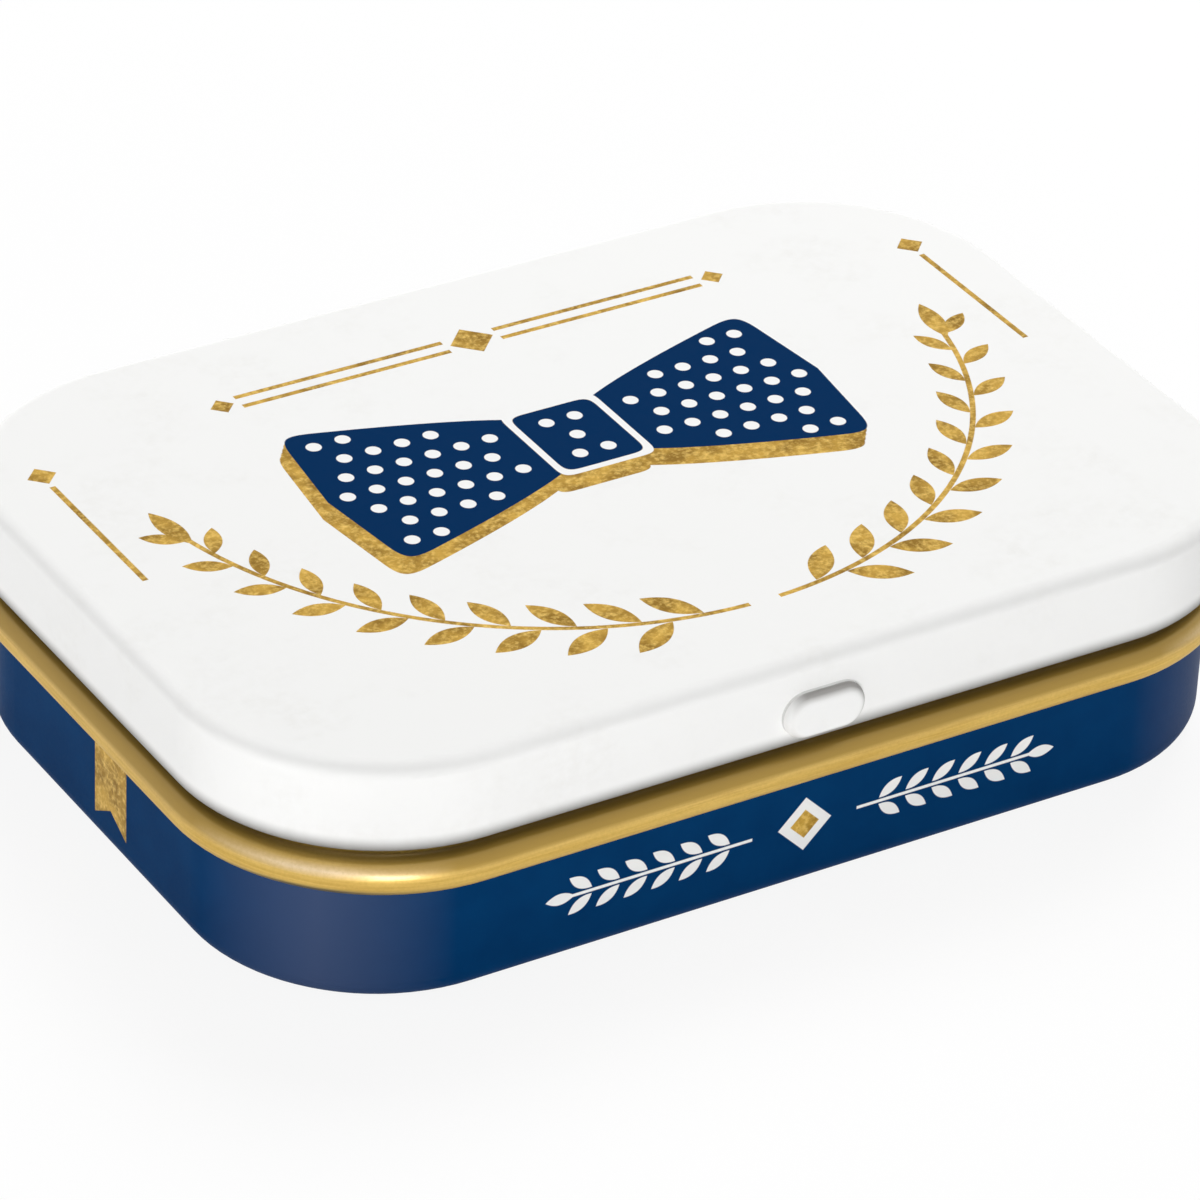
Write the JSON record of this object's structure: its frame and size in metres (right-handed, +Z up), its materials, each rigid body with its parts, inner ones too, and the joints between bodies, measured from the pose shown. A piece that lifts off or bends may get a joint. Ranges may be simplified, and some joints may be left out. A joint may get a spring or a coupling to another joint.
{
  "type": "hinged mint tin",
  "caption": "Small oblong drawn-tinplate mint tin with a hinged lid, curled edges, a raised bead round the tray, a thumb catch and loose round mints inside.",
  "frame": {"origin": "centre of the tin's flat floor on the surface that it stands on", "axes": "+X along the length, +Y to the hinge at the back, +Z up, the thumb catch at the front on -Y"},
  "size_m": [0.0628, 0.0436, 0.0148],
  "materials": {
    "white_tinplate": "off-white printed lacquer, satin, bare bright tinplate inside",
    "navy_tinplate": "navy printed lacquer with a metallic gold bead, bare bright tinplate inside",
    "bright_steel": "drawn steel wire",
    "mint_sugar": "chalky pressed sugar"
  },
  "bodies": {
    "base": {"base_tray": "navy_tinplate", "hinge_wire": "bright_steel", "mint_01": "mint_sugar", "mint_02": "mint_sugar", "mint_03": "mint_sugar", "mint_04": "mint_sugar", "mint_05": "mint_sugar", "mint_06": "mint_sugar", "mint_07": "mint_sugar", "mint_08": "mint_sugar", "mint_09": "mint_sugar", "mint_10": "mint_sugar", "mint_11": "mint_sugar", "mint_12": "mint_sugar", "mint_13": "mint_sugar", "mint_14": "mint_sugar", "mint_15": "mint_sugar", "mint_16": "mint_sugar", "mint_17": "mint_sugar", "mint_18": "mint_sugar", "mint_19": "mint_sugar", "mint_20": "mint_sugar", "mint_21": "mint_sugar", "mint_22": "mint_sugar", "mint_23": "mint_sugar", "mint_24": "mint_sugar", "mint_25": "mint_sugar", "mint_26": "mint_sugar", "mint_27": "mint_sugar"},
    "lid": {"lid": "white_tinplate"}
  },
  "joints": [
    {"name": "lid_hinge", "type": "hinge", "parent": "base", "child": "lid", "pos_m": [0, 0.02051, 0.00795], "axis": [-1, 0, 0], "range_deg": [0, 128]}
  ]
}
